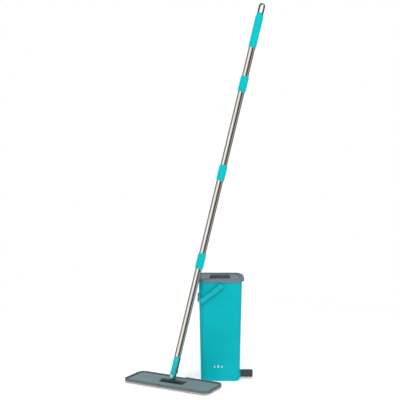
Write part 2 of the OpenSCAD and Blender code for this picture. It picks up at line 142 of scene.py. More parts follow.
def make_world():
    """White studio. Dark flags beside the set shade its sides and streak the bright tubes."""
    world = bpy.data.worlds.new("studio")
    world.use_nodes = True
    tree = world.node_tree
    tree.nodes.clear()
    coords = tree.nodes.new("ShaderNodeTexCoord")
    split = tree.nodes.new("ShaderNodeSeparateXYZ")
    angle = tree.nodes.new("ShaderNodeMath")
    angle.operation = "ARCTAN2"
    remap = tree.nodes.new("ShaderNodeMapRange")
    remap.inputs["From Min"].default_value = -math.pi
    remap.inputs["From Max"].default_value = math.pi
    tree.links.new(coords.outputs["Generated"], split.inputs[0])
    tree.links.new(split.outputs["X"], angle.inputs[0])
    tree.links.new(split.outputs["Y"], angle.inputs[1])
    tree.links.new(angle.outputs[0], remap.inputs["Value"])
    soft = turn_ramp(tree, remap.outputs["Result"],
                     [(0.0, 1.0), (0.10, 0.85), (0.20, 0.35), (0.32, 0.35), (0.5, 0.8), (0.70, 0.6),
                      (0.80, 0.5), (0.92, 0.95), (1.0, 1.0)])
    soft.inputs["Strength"].default_value = 0.62
    mirrored = turn_ramp(tree, remap.outputs["Result"],
                         [(0.0, 0.28), (0.035, 0.36), (0.05, 1.0), (0.165, 1.0), (0.19, 0.36), (0.28, 0.26),
                          (0.36, 0.16), (0.44, 0.05), (0.50, 0.04), (0.58, 0.05), (0.68, 0.10), (0.75, 0.22),
                          (0.79, 0.42), (0.838, 0.40), (0.850, 0.012), (0.938, 0.012), (0.955, 0.26),
                          (1.0, 0.28)])
    mirrored.inputs["Strength"].default_value = 1.3
    plain = tree.nodes.new("ShaderNodeBackground")
    plain.inputs["Strength"].default_value = 1.0
    plain.inputs["Color"].default_value = (1, 1, 1, 1)
    path = tree.nodes.new("ShaderNodeLightPath")
    glossy_or_soft = tree.nodes.new("ShaderNodeMixShader")
    seen_or_not = tree.nodes.new("ShaderNodeMixShader")
    out = tree.nodes.new("ShaderNodeOutputWorld")
    tree.links.new(path.outputs["Is Glossy Ray"], glossy_or_soft.inputs["Fac"])
    tree.links.new(soft.outputs[0], glossy_or_soft.inputs[1])
    tree.links.new(mirrored.outputs[0], glossy_or_soft.inputs[2])
    tree.links.new(path.outputs["Is Camera Ray"], seen_or_not.inputs["Fac"])
    tree.links.new(glossy_or_soft.outputs[0], seen_or_not.inputs[1])
    tree.links.new(plain.outputs[0], seen_or_not.inputs[2])
    tree.links.new(seen_or_not.outputs[0], out.inputs["Surface"])
    scene.world = world


make_world()


def make_floor():
    """Pale floor that takes soft shadows near the set and fades into the white backdrop."""
    half = 8.0
    near, far = 0.5, 1.6
    mesh = bpy.data.meshes.new("floor")
    corners = [(-half, -half, 0), (half, -half, 0), (half, half, 0), (-half, half, 0)]
    mesh.from_pydata(corners, [], [(0, 1, 2, 3)])
    floor = bpy.data.objects.new("floor", mesh)
    scene.collection.objects.link(floor)
    floor.visible_glossy = False
    material = bpy.data.materials.new("floor")
    material.use_nodes = True
    tree = material.node_tree
    shader = tree.nodes["Principled BSDF"]
    shader.inputs["Base Color"].default_value = (0.74, 0.74, 0.74, 1)
    shader.inputs["Roughness"].default_value = 0.7
    shader.inputs["Specular IOR Level"].default_value = 0.1
    shader.inputs["Emission Color"].default_value = (1, 1, 1, 1)
    shader.inputs["Emission Strength"].default_value = 0.40
    coords = tree.nodes.new("ShaderNodeTexCoord")
    length = tree.nodes.new("ShaderNodeVectorMath")
    length.operation = "LENGTH"
    tree.links.new(coords.outputs["Object"], length.inputs[0])
    fade = tree.nodes.new("ShaderNodeMapRange")
    fade.inputs["From Min"].default_value = near
    fade.inputs["From Max"].default_value = far
    tree.links.new(length.outputs["Value"], fade.inputs["Value"])
    glow = tree.nodes.new("ShaderNodeEmission")
    glow.inputs["Strength"].default_value = 1.0
    mix = tree.nodes.new("ShaderNodeMixShader")
    tree.links.new(fade.outputs["Result"], mix.inputs["Fac"])
    tree.links.new(shader.outputs[0], mix.inputs[1])
    tree.links.new(glow.outputs[0], mix.inputs[2])
    tree.links.new(mix.outputs[0], tree.nodes["Material Output"].inputs["Surface"])
    mesh.materials.append(material)


make_floor()

# ---------------------------------------------------------------- materials


def new_material(name):
    material = bpy.data.materials.new(name)
    material.use_nodes = True
    return material, material.node_tree, material.node_tree.nodes["Principled BSDF"]


def local_coords(tree, local=ROW, stretch=(1, 1, 1)):
    """The object's coordinates in a local frame, in metres, drawn out along its axes by stretch."""
    coords = tree.nodes.new("ShaderNodeTexCoord")
    mapping = tree.nodes.new("ShaderNodeMapping")
    mapping.vector_type = "TEXTURE"
    mapping.inputs["Location"].default_value = local.translation
    mapping.inputs["Rotation"].default_value = local.to_euler()
    mapping.inputs["Scale"].default_value = stretch
    tree.links.new(coords.outputs["Object"], mapping.inputs["Vector"])
    return mapping.outputs[0]


def add_noise(tree, scale, detail=3.0, local=ROW, stretch=(1, 1, 1)):
    cloud = tree.nodes.new("ShaderNodeTexNoise")
    cloud.inputs["Scale"].default_value = scale
    cloud.inputs["Detail"].default_value = detail
    tree.links.new(local_coords(tree, local, stretch), cloud.inputs["Vector"])
    return cloud.outputs["Fac"]


def ramp_between(tree, value, low, high, at=(0.35, 0.65)):
    """Colour ramp from low to high over the two places."""
    ramp = tree.nodes.new("ShaderNodeValToRGB")
    for element, place, colour in zip(ramp.color_ramp.elements, at, (low, high)):
        element.position = place
        element.color = (*colour, 1)
    tree.links.new(value, ramp.inputs["Fac"])
    return ramp.outputs["Color"]


def plain_colour(tree, colour):
    node = tree.nodes.new("ShaderNodeRGB")
    node.outputs[0].default_value = (*colour, 1)
    return node.outputs[0]


def height_in(tree, local):
    """Height in a local frame."""
    split = tree.nodes.new("ShaderNodeSeparateXYZ")
    tree.links.new(local_coords(tree, local), split.inputs[0])
    return split.outputs["Z"]


def mix_colour(tree, factor, a, b, mode="MIX"):
    node = tree.nodes.new("ShaderNodeMix")
    node.data_type = "RGBA"
    node.blend_type = mode
    if isinstance(factor, float):
        node.inputs["Factor"].default_value = factor
    else:
        tree.links.new(factor, node.inputs["Factor"])
    tree.links.new(a, node.inputs["A"])
    tree.links.new(b, node.inputs["B"])
    return node.outputs["Result"]


def scaled(colour, k):
    return tuple(min(1.0, c * k) for c in colour)


def add_bump(tree, shader, heights):
    """Chains bumps onto the shader's normal: pairs of height output and depth in metres."""
    previous = None
    for height, depth in heights:
        bump = tree.nodes.new("ShaderNodeBump")
        bump.inputs["Distance"].default_value = depth
        bump.inputs["Strength"].default_value = 0.6
        tree.links.new(height, bump.inputs["Height"])
        if previous:
            tree.links.new(previous, bump.inputs["Normal"])
        previous = bump.outputs["Normal"]
    tree.links.new(previous, shader.inputs["Normal"])


def map_value(tree, value, low, high, source=(0.3, 0.7)):
    node = tree.nodes.new("ShaderNodeMapRange")
    node.inputs["From Min"].default_value = source[0]
    node.inputs["From Max"].default_value = source[1]
    node.inputs["To Min"].default_value = low
    node.inputs["To Max"].default_value = high
    tree.links.new(value, node.inputs["Value"])
    return node.outputs["Result"]


def plastic(name, colour, rough=0.42, grain=900, grain_depth=0.00005, wear=0.10, cloud=0.06, gloss=0.3,
            painted_shade=None):
    """Moulded plastic: cloudy colour, paler rubbed edges, fine moulded grain and faint handling marks."""
    material, tree, shader = new_material(name)
    shader.inputs["Specular IOR Level"].default_value = gloss
    soft = add_noise(tree, 9.0, 4.0)
    base = ramp_between(tree, soft, scaled(colour, 1 - cloud), scaled(colour, 1 + cloud))
    # A painting function, where given, paints shade into the base colour.
    if painted_shade:
        base = painted_shade(tree, base)
    geometry = tree.nodes.new("ShaderNodeNewGeometry")
    edge = map_value(tree, geometry.outputs["Pointiness"], 0.0, wear, (0.52, 0.62))
    pale = plain_colour(tree, [min(1.0, c * 0.6 + 0.4) for c in colour])
    tree.links.new(mix_colour(tree, edge, base, pale), shader.inputs["Base Color"])
    marks = add_noise(tree, 60.0, 5.0, stretch=(1, 1, 4))
    tree.links.new(map_value(tree, marks, rough - 0.06, rough + 0.08), shader.inputs["Roughness"])
    fine = add_noise(tree, grain, 2.0)
    add_bump(tree, shader, [(soft, 0.0004), (fine, grain_depth)])
    return material


def drawn_tube(name, colour):
    """Bright drawn tube: fine lines along the pole in colour and roughness, with faint finger haze."""
    material, tree, shader = new_material(name)
    shader.inputs["Metallic"].default_value = 1.0
    lines = add_noise(tree, 1100.0, 3.0, POLE, (1, 1, 400))
    haze = add_noise(tree, 22.0, 4.0, POLE, (1, 1, 3))
    base = ramp_between(tree, lines, scaled(colour, 0.90), scaled(colour, 1.06))
    tint = ramp_between(tree, haze, (0.93, 0.92, 0.90), (1.0, 1.0, 1.0))
    tree.links.new(mix_colour(tree, 1.0, base, tint, "MULTIPLY"), shader.inputs["Base Color"])
    tree.links.new(map_value(tree, haze, 0.03, 0.07), shader.inputs["Roughness"])
    return material


def turned_steel(name, colour, rough):
    """Small bright steel parts: fine tool marks and slight haze."""
    material, tree, shader = new_material(name)
    shader.inputs["Metallic"].default_value = 1.0
    marks = add_noise(tree, 1500.0, 3.0)
    haze = add_noise(tree, 90.0, 3.0)
    tree.links.new(ramp_between(tree, haze, scaled(colour, 0.88), colour), shader.inputs["Base Color"])
    tree.links.new(map_value(tree, marks, rough - 0.05, rough + 0.08), shader.inputs["Roughness"])
    add_bump(tree, shader, [(marks, 0.00001)])
    return material


def rubber(name, colour):
    material, tree, shader = new_material(name)
    dust = add_noise(tree, 220.0, 5.0)
    tree.links.new(ramp_between(tree, dust, colour, scaled(colour, 2.2)), shader.inputs["Base Color"])
    tree.links.new(map_value(tree, dust, 0.6, 0.8), shader.inputs["Roughness"])
    add_bump(tree, shader, [(dust, 0.00008)])
    return material


def cloth(name, colour, shade, loops=1400.0, sheen=0.4, crease_shade=None):
    """Microfibre: loops in colour and bump, a soft sheen and patches of turned pile.

    A painted shade band, darker between two heights over the head's base, darkens the gap between the binding and
    the pile.
    """
    material, tree, shader = new_material(name)
    shader.inputs["Sheen Weight"].default_value = sheen
    shader.inputs["Sheen Roughness"].default_value = 0.5
    shader.inputs["Specular IOR Level"].default_value = 0.15
    cells = tree.nodes.new("ShaderNodeTexVoronoi")
    cells.inputs["Scale"].default_value = loops
    tree.links.new(local_coords(tree, HEAD), cells.inputs["Vector"])
    pile = ramp_between(tree, cells.outputs["Distance"], colour, shade, (0.2, 0.75))
    patches = add_noise(tree, 45.0, 4.0)
    tint = ramp_between(tree, patches, (0.88, 0.89, 0.9), (1.0, 1.0, 1.0))
    base = mix_colour(tree, 1.0, pile, tint, "MULTIPLY")
    # Painted shade in the gap between the binding and the pile.
    if crease_shade:
        low, high = crease_shade
        fade = 0.3 * MM
        height = height_in(tree, HEAD)
        in_crease_shade = tree.nodes.new("ShaderNodeMath")
        in_crease_shade.operation = "MULTIPLY"
        tree.links.new(map_value(tree, height, 0.0, 1.0, (low - fade, low)), in_crease_shade.inputs[0])
        tree.links.new(map_value(tree, height, 1.0, 0.0, (high, high + fade)), in_crease_shade.inputs[1])
        base = mix_colour(tree, in_crease_shade.outputs[0], base, plain_colour(tree, scaled(shade, 0.45)))
    tree.links.new(base, shader.inputs["Base Color"])
    tree.links.new(map_value(tree, patches, 0.85, 0.98), shader.inputs["Roughness"])
    fuzz = add_noise(tree, 2600.0, 2.0)
    add_bump(tree, shader, [(cells.outputs["Distance"], 0.0004), (fuzz, 0.0002)])
    return material


TEAL = (0.0, 0.432, 0.486)
HANDLE_TEAL = (0.0, 0.440, 0.490)
BRIGHT_TEAL = (0.0, 0.500, 0.530)
COLLAR_GREY = (0.152, 0.195, 0.235)
PANEL_GREY = (0.250, 0.300, 0.335)
PLATE_GREY = (0.191, 0.263, 0.285)
# Painted shade: the next two colours stand for the shade on the band round the plate's edge and on the recess
# floor under the swivel.
PLATE_RIM_SHADE = (0.112, 0.142, 0.150)
PLATE_RECESS_SHADE = (0.054, 0.098, 0.106)
DARK_PLASTIC = (0.055, 0.064, 0.067)
DRAIN_GREY = (0.046, 0.053, 0.055)
STEEL = (0.62, 0.61, 0.59)
TUBE_STEEL = (0.80, 0.77, 0.74)

RIM_WIDTH = 6.3 * MM
RECESS_BELOW = 9.5 * MM
PLATE_HALF = local_box("mop_plate", HEAD)[1]
PLATE_CORNER = 22 * MM


def vector_maths(tree, operation, a, b=None):
    """Vector maths on output a and, where the operation takes one, a fixed vector b."""
    node = tree.nodes.new("ShaderNodeVectorMath")
    node.operation = operation
    tree.links.new(a, node.inputs[0])
    if b is not None:
        node.inputs[1].default_value = b
    return node


def paint_plate_shade(tree, base):
    """Painted shade: a darker band round the plate's edge, where its rim falls dark, and a dark floor in the
    recess under the swivel, where shade falls.
    """
    folded = vector_maths(tree, "ABSOLUTE", local_coords(tree, HEAD)).outputs[0]
    inner = (PLATE_HALF.x - PLATE_CORNER, PLATE_HALF.y - PLATE_CORNER, 1.0)
    beyond = vector_maths(tree, "SUBTRACT", folded, inner).outputs[0]
    corner = vector_maths(tree, "MAXIMUM", beyond, (0, 0, 0)).outputs[0]
    reach = vector_maths(tree, "LENGTH", corner).outputs["Value"]
    edge, fade = PLATE_CORNER - RIM_WIDTH, 0.1 * MM
    # Painted shade round the plate's rim.
    rim_shade = map_value(tree, reach, 0.0, 1.0, (edge - fade, edge + fade))
    # Painted shade on the recess floor, and on all lower parts of the plate.
    low = map_value(tree, height_in(tree, HEAD), 1.0, 0.0, (RECESS_BELOW - 2 * fade, RECESS_BELOW))
    with_recess_shade = mix_colour(tree, low, base, plain_colour(tree, PLATE_RECESS_SHADE))
    return mix_colour(tree, rim_shade, with_recess_shade, plain_colour(tree, PLATE_RIM_SHADE))


looks = {
    "bucket_teal": plastic("bucket_teal", TEAL, rough=0.42, grain_depth=0.00003, gloss=0.10),
    "handle_teal": plastic("handle_teal", HANDLE_TEAL, rough=0.42, gloss=0.12),
    "bright_teal": plastic("bright_teal", BRIGHT_TEAL, rough=0.36, gloss=0.12),
    "collar_grey": plastic("collar_grey", COLLAR_GREY, rough=0.42),
    "panel_grey": plastic("panel_grey", PANEL_GREY, rough=0.45),
    # The plate's colour carries painted shade on its rim and in its recess.
    "plate_grey": plastic("plate_grey", PLATE_GREY, rough=0.5, grain=700, grain_depth=0.00010,
                          painted_shade=paint_plate_shade),
    "dark_plastic": plastic("dark_plastic", DARK_PLASTIC, rough=0.45),
    "drain_grey": plastic("drain_grey", DRAIN_GREY, rough=0.45),
    "steel": turned_steel("steel", STEEL, 0.28),
    "tube_steel": drawn_tube("tube_steel", TUBE_STEEL),
    "rubber": rubber("rubber", (0.018, 0.018, 0.019)),
    "roller_white": plastic("roller_white", (0.68, 0.70, 0.70), rough=0.4),
    "brush": plastic("brush", (0.66, 0.70, 0.71), rough=0.35),
    "pin_white": plastic("pin_white", (0.80, 0.81, 0.81), rough=0.22, gloss=0.5),
    "hook": cloth("hook", (0.50, 0.50, 0.47), (0.30, 0.30, 0.28), 900.0, 0.1),
    # Painted shade: the pad's band from 3.6 to 4.9 mm above its base.
    "microfibre": cloth("microfibre", (0.86, 0.87, 0.86), (0.62, 0.64, 0.65), crease_shade=(3.6 * MM, 4.9 * MM)),
}

# ---------------------------------------------------------------- mesh helpers


def finish_piece(name, bm, node, slot=None, smooth_angle=34.0, flat_faces=True):
    """Makes a shaded object from bm that rides with a CAD node's body."""
    bmesh.ops.recalc_face_normals(bm, faces=bm.faces)
    for face in bm.faces:
        face.smooth = True
    limit = math.radians(smooth_angle)
    for edge in bm.edges:
        edge.smooth = len(edge.link_faces) == 2 and edge.calc_face_angle(0.0) < limit
    mesh = bpy.data.meshes.new(name)
    bm.to_mesh(mesh)
    bm.free()
    piece = bpy.data.objects.new(name, mesh)
    scene.collection.objects.link(piece)
    slot = slot or slot_of_node[node]
    mesh.materials.append(looks[slot])
    if flat_faces:
        weighted = piece.modifiers.new("flat_faces", "WEIGHTED_NORMAL")
        weighted.keep_sharp = True
    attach(piece, body_of_node[node])
    return piece


def bm_from(points, faces):
    """A bmesh from plain lists, for pieces with many small parts."""
    mesh = bpy.data.meshes.new("lists")
    mesh.from_pydata(points, [], faces)
    bm = bmesh.new()
    bm.from_mesh(mesh)
    bpy.data.meshes.remove(mesh)
    return bm


def cad_bm(node):
    """A CAD node's mesh, welded and with its flat faces whole."""
    bm = bmesh.new()
    bm.from_mesh(nodes[node].data)
    bmesh.ops.remove_doubles(bm, verts=bm.verts, dist=2e-6)
    bmesh.ops.dissolve_limit(bm, angle_limit=math.radians(0.5), verts=bm.verts, edges=bm.edges)
    return bm


def ring_faces(rings, count, closed=False):
    """Quads between neighbouring rings of count points each; closed also joins the last ring to the first."""
    return [(k * count + i, k * count + (i + 1) % count,
             (k + 1) % rings * count + (i + 1) % count, (k + 1) % rings * count + i)
            for k in range(rings if closed else rings - 1) for i in range(count)]


def prism_faces(start, n):
    """The two ends and the sides between two outlines of n points that begin at start."""
    ends = [tuple(start + i for i in range(n)), tuple(start + n + i for i in reversed(range(n)))]
    return ends + [(start + i, start + n + i, start + n + (i + 1) % n, start + (i + 1) % n) for i in range(n)]


def round_edges(bm, width):
    """Rounds edges sharper than a coarse curve's facets by width in millimetres."""
    limit = math.radians(28)
    sharp = [e for e in bm.edges if len(e.link_faces) == 2 and e.calc_face_angle(0.0) > limit]
    bmesh.ops.bevel(bm, geom=sharp, offset=width * MM, offset_type="OFFSET", segments=2,
                    profile=0.5, affect="EDGES", clamp_overlap=True)


def refine(node, width):
    """A CAD node's shape with its sharp edges rounded by width in millimetres."""
    bm = cad_bm(node)
    round_edges(bm, width)
    piece = finish_piece(node + "_look", bm, node)
    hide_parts(node)
    return piece


def turned(name, node, local, profile, sides, ripple=None, stands_for=True):
    """A ring turned about a local frame's Z.

    The closed profile holds (place along Z, radius, share of ripple).
    """
    points = []
    for along, radius, share in profile:
        for i in range(sides):
            angle = TAU * i / sides
            r = radius + (share * ripple(along, angle) if ripple else 0.0)
            points.append(local @ Vector((r * math.cos(angle), r * math.sin(angle), along)))
    faces = ring_faces(len(profile), sides, closed=True)
    piece = finish_piece(name, bm_from(points, faces), node)
    if stands_for:
        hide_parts(node)


def island_tops(node):
    """The top centre of each separate solid of a node, with Z up."""
    bm = cad_bm(node)
    left = set(bm.verts)
    tops = []
    while left:
        group, front = set(), [next(iter(left))]
        while front:
            vert = front.pop()
            if vert in group:
                continue
            group.add(vert)
            front.extend(e.other_vert(vert) for e in vert.link_edges)
        left -= group
        spots = [v.co for v in group]
        low = Vector(min(s[i] for s in spots) for i in range(3))
        high = Vector(max(s[i] for s in spots) for i in range(3))
        tops.append(Vector(((low.x + high.x) / 2, (low.y + high.y) / 2, high.z)))
    bm.free()
    return sorted(tops, key=lambda t: (round(t.x, 4), round(t.y, 4)))


def cut_away(piece, points, faces):
    """Cuts a closed shape out of a piece."""
    bm = bm_from(points, faces)
    bmesh.ops.recalc_face_normals(bm, faces=bm.faces)
    mesh = bpy.data.meshes.new("cutter")
    bm.to_mesh(mesh)
    bm.free()
    cutter = bpy.data.objects.new("cutter", mesh)
    scene.collection.objects.link(cutter)
    cut = piece.modifiers.new("cut", "BOOLEAN")
    cut.operation = "DIFFERENCE"
    cut.solver = "EXACT"
    cut.object = cutter
    bpy.context.view_layer.update()
    graph = bpy.context.evaluated_depsgraph_get()
    done = bpy.data.meshes.new_from_object(piece.evaluated_get(graph))
    piece.modifiers.clear()
    piece.data = done
    bpy.data.objects.remove(cutter)


# ---------------------------------------------------------------- screws


def cross_screws(node, arm, depth, turn):
    """A node of upright screws with a cross recess in each head; arm and depth are in millimetres."""
    piece = refine(node, 0.25)
    half, inner = arm * MM, 0.32 * arm * MM
    outline = [(half, inner), (inner, inner), (inner, half), (-inner, half), (-inner, inner),
               (-half, inner), (-half, -inner), (-inner, -inner), (-inner, -half), (inner, -half),
               (inner, -inner), (half, -inner)]
    c, s = math.cos(turn), math.sin(turn)
    points, faces = [], []
    for top in island_tops(node):
        faces += prism_faces(len(points), len(outline))
        for size, height in ((1.0, 0.5 * MM), (0.6, -depth * MM)):
            for x, y in outline:
                points.append((top.x + size * (c * x - s * y), top.y + size * (s * x + c * y),
                               top.z + height))
    cut_away(piece, points, faces)


cross_screws("panel_screws", 1.6, 0.9, 0.5)
cross_screws("cap_screws", 1.9, 0.8, 0.2)

# ---------------------------------------------------------------- pole: grip, sleeves and tubes

TUBE_R = local_box("upper_tube", POLE)[1].x
SHELL_GAP = 0.05 * MM
FLUTES = 20


def flute(along, angle):
    """Shallow finger flutes along the pole."""
    return -0.22 * MM * (0.5 + 0.5 * math.cos(FLUTES * angle)) ** 3


def make_grip():
    low, high = local_box("grip", POLE)
    r, start, end = high.x, low.z, high.z
    neck = r - 0.8 * MM
    plug_r = local_box("end_plug", POLE)[1].x + 0.1 * MM
    outer = [(0.0, neck - 0.7 * MM, 0), (0.7, neck, 0), (3.6, neck, 0), (4.4, r - 0.1 * MM, 0), (5.2, r, 0),
             (9.0, r, 0), (12.0, r, 1)]
    profile = [(start + t * MM, radius, share) for t, radius, share in outer]
    profile += [(end - t * MM, radius, share) for t, radius, share in reversed(outer)]
    profile += [(end, plug_r, 0), (end - 6 * MM, plug_r, 0), (end - 6 * MM, TUBE_R + SHELL_GAP, 0),
                (start, TUBE_R + SHELL_GAP, 0)]
    turned("grip_look", "grip", POLE, profile, 160, flute)


def make_sleeve(node):
    low, high = local_box(node, POLE)
    r, middle, half = high.x, (low.z + high.z) / 2, (high.z - low.z) / 2
    neck = r - 0.8 * MM
    outer = [(half, neck - 0.6 * MM, 0), (half - 0.6 * MM, neck, 0), (half - 4.4 * MM, neck, 0),
             (half - 5.2 * MM, r - 0.1 * MM, 0), (half - 5.8 * MM, r, 0), (half - 7.5 * MM, r, 0),
             (half - 7.9 * MM, r - 0.35 * MM, 0), (half - 8.5 * MM, r - 0.35 * MM, 0),
             (half - 8.9 * MM, r, 0), (half - 11.5 * MM, r, 1)]
    profile = [(middle - t, radius, share) for t, radius, share in outer]
    profile += [(middle + t, radius, share) for t, radius, share in reversed(outer)]
    profile += [(middle + half, TUBE_R + SHELL_GAP, 0), (middle - half, TUBE_R + SHELL_GAP, 0)]
    turned(node + "_look", node, POLE, profile, 160, flute)


make_grip()
for sleeve_node in ("sleeve_lower", "sleeve_middle", "sleeve_upper"):
    make_sleeve(sleeve_node)

# ---------------------------------------------------------------- drain


def make_spout():
    low, high = local_box("drain_spout", DRAIN)
    start, end, flange_r = low.z, high.z, high.x
    flange_from = local_box("drain_gasket", DRAIN)[1].z
    flange_to = flange_from + 3.4 * MM
    spout_r, bore_r, edge = 9.0 * MM, 6.0 * MM, 0.4 * MM
    pitch = 4.0 * MM

    def thread(along, angle):
        return -0.5 * MM * (0.5 + 0.5 * math.cos(TAU * along / pitch - angle)) ** 2

    profile = [(start, spout_r - edge, 0), (start + edge, spout_r, 0), (flange_from, spout_r, 0),
               (flange_from, flange_r - edge, 0), (flange_from + edge, flange_r, 0),
               (flange_to - edge, flange_r, 0), (flange_to, flange_r - edge, 0), (flange_to, spout_r, 0)]
    steps = 36
    first, last = flange_to + 1.2 * MM, end - 1.2 * MM
    profile += [(first + (last - first) * k / steps, spout_r, min(1.0, k / 4, (steps - k) / 4))
                for k in range(steps + 1)]
    profile += [(end - edge, spout_r, 0), (end, spout_r - edge, 0), (end, bore_r + edge, 0),
                (end - edge, bore_r, 0), (start + edge, bore_r, 0), (start, bore_r + edge, 0)]
    turned("drain_spout_look", "drain_spout", DRAIN, profile, 64, thread)


make_spout()

# ---------------------------------------------------------------- wringing insert: roller and brush


def make_roller():
    """Roller with rounded grooves along its length."""
    high = local_box("squeeze_roller", ROLLER)[1]
    r, half, bore_r = high.x, high.z, local_box("roller_axle", ROLLER)[1].x + SHELL_GAP
    grooves, groove_r = 25, r - 0.7 * MM
    step = 2 * (half - 3 * MM) / grooves
    profile = [(-half, r - 0.8 * MM, 0), (-half + 0.8 * MM, r, 0)]
    for k in range(grooves):
        at = -half + 3 * MM + (k + 0.5) * step
        profile += [(at - 0.28 * step, r, 0), (at - 0.16 * step, groove_r, 0),
                    (at + 0.16 * step, groove_r, 0), (at + 0.28 * step, r, 0)]
    profile += [(half - 0.8 * MM, r, 0), (half, r - 0.8 * MM, 0), (half, bore_r, 0), (-half, bore_r, 0)]
    turned("squeeze_roller_look", "squeeze_roller", ROLLER, profile, 48)


def add_bristle(points, faces, foot, splay, length):
    """One tapering bristle that stands along Y from foot and leans out by splay (x, z) towards its tip."""
    lean = 1.5 + 0.3 * random.random()
    reach = length * random.uniform(0.93, 1.0)
    start = len(points)
    for share, wide in ((-0.05, 0.24 * MM), (0.5, 0.22 * MM), (1.0, 0.16 * MM)):
        grow = 1 + (lean - 1) * max(0.0, share) ** 2
        for q in range(4):
            a = TAU * q / 4
            points.append((foot[0] + splay[0] * grow + wide * math.cos(a), foot[1] + share * reach,
                           foot[2] + splay[1] * grow + wide * math.sin(a)))
    faces += [tuple(start + i for i in face) for face in ring_faces(3, 4)]
    faces.append(tuple(start + q for q in range(4)))
    faces.append(tuple(start + 8 + q for q in range(4)))


def make_brush():
    """The brush's bar, and splayed nylon tufts in place of its plain stubs."""
    low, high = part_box("wash_brush")
    middle_x, middle_z = (low.x + high.x) / 2, (low.z + high.z) / 2
    bar_t = 3 * MM
    bm = bmesh.new()
    bmesh.ops.create_cube(bm, size=1.0)
    for vert in bm.verts:
        vert.co = Vector((middle_x + vert.co.x * (high.x - low.x), low.y + (vert.co.y + 0.5) * bar_t,
                          middle_z + vert.co.z * (high.z - low.z)))
    round_edges(bm, 0.6)
    finish_piece("wash_brush_bar", bm, "wash_brush", "handle_teal")
    columns, rows, pitch_x, pitch_z = 13, 4, 8 * MM, 10 * MM
    bristles, tuft_r, golden_turn = 14, 1.25 * MM, 2.4
    points, faces = [], []
    for column in range(columns):
        for row in range(rows):
            foot = ((column - (columns - 1) / 2) * pitch_x, low.y + bar_t,
                    middle_z + (row - (rows - 1) / 2) * pitch_z)
            for k in range(bristles):
                spread = tuft_r * math.sqrt((k + 0.5) / bristles)
                turn = k * golden_turn
                splay = (spread * math.cos(turn), spread * math.sin(turn))
                add_bristle(points, faces, foot, splay, high.y - low.y - bar_t)
    tufts = finish_piece("wash_brush_tufts", bm_from(points, faces), "wash_brush", smooth_angle=100,
                         flat_faces=False)
    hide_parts("wash_brush")


make_roller()
make_brush()

# ---------------------------------------------------------------- microfibre pad

pad_high = local_box("mop_pad", HEAD)[1]
PAD_TOP = pad_high.z - 0.1 * MM
PAD_CORNER = 20 * MM
SIDE_X, SIDE_Y, ARC = 120, 40, 12
QUARTERS = ((1, 1), (-1, 1), (-1, -1), (1, -1))


def pad_outline(inset):
    """Points and outward directions round the pad's outline, drawn in by inset, the same number each time."""
    half_x, half_y = pad_high.x - inset, pad_high.y - inset
    corner = min(max(PAD_CORNER - inset, 1.5 * MM), half_y - 0.2 * MM)
    spots = []
    for quarter, (sx, sy) in enumerate(QUARTERS):
        centre = Vector((sx * (half_x - corner), sy * (half_y - corner)))
        for k in range(ARC):
            a = math.pi / 2 * (quarter + k / ARC)
            out = Vector((math.cos(a), math.sin(a)))
            spots.append((centre + corner * out, out))
        a = math.pi / 2 * (quarter + 1)
        out = Vector((math.cos(a), math.sin(a)))
        run_from = centre + corner * out
        nx, ny = QUARTERS[(quarter + 1) % 4]
        run_to = Vector((nx * (half_x - corner), ny * (half_y - corner))) + corner * out
        steps = SIDE_X if quarter % 2 == 0 else SIDE_Y
        for k in range(steps):
            spots.append((run_from.lerp(run_to, k / steps), out))
    return spots


def pile_wave(x, y, z, size, depth):
    return depth * noise.noise(Vector((x, y, z)) / size)


def sew_line(inset):
    """Height of the sewn channels that run round the underside."""
    depth, width = 1.5 * MM, 1.3 * MM
    return sum(depth * math.exp(-((inset - place * MM) / width) ** 2) for place in (13, 27, 41))


def make_pad_body():
    """Foam-backed pad with crowned sides and sewn channels underneath."""
    bottom = 1.0 * MM
    rings = [(30, PAD_TOP), (4, PAD_TOP), (1.6, PAD_TOP - 0.15 * MM), (0.5, PAD_TOP - 0.9 * MM),
             (-0.1, PAD_TOP - 2.2 * MM), (-0.1, PAD_TOP - 3.8 * MM), (0.6, bottom + 1.2 * MM),
             (1.8, bottom + 0.3 * MM), (3.2, bottom)]
    rings = [(inset * MM, z) for inset, z in rings]
    rings += [((4.5 + 1.5 * k) * MM, None) for k in range(33)]
    points = []
    count = len(pad_outline(0))
    for inset, z in rings:
        for spot, out in pad_outline(inset):
            height = bottom + sew_line(inset) if z is None else z
            if height < PAD_TOP - 0.5 * MM:
                puff = pile_wave(spot.x, spot.y, height, 4 * MM, 0.35 * MM)
                spot = spot + out * puff
                height = max(0.3 * MM, height + pile_wave(spot.x, spot.y, 0.7, 5 * MM, 0.3 * MM))
            points.append(HEAD @ Vector((spot.x, spot.y, height)))
    faces = ring_faces(len(rings), count)
    faces.append(tuple(range(count)))
    last = (len(rings) - 1) * count
    faces.append(tuple(last + i for i in range(count)))
    pad = finish_piece("pad_body", bm_from(points, faces), "mop_pad", smooth_angle=60, flat_faces=False)
    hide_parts("mop_pad")


def add_loop(points, faces, root, along, out, width, height, thick):
    """One yarn loop: an arch from root, along one way and standing out the other."""
    side = along.cross(out).normalized()
    start = len(points)
    bends = 6
    for k in range(bends + 1):
        a = math.pi * k / bends
        centre = root + along * (width * (0.5 - 0.5 * math.cos(a)))
        centre += out * (height * math.sin(a) - 0.15 * height)
        bend = (out * math.sin(a) - along * math.cos(a)).normalized()
        for q in range(4):
            b = TAU * q / 4
            points.append(centre + thick * (bend * math.cos(b) + side * math.sin(b)))
    faces += [tuple(start + i for i in face) for face in ring_faces(bends + 1, 4)]
    faces.append(tuple(start + q for q in range(4)))
    faces.append(tuple(start + 4 * bends + q for q in range(4)))


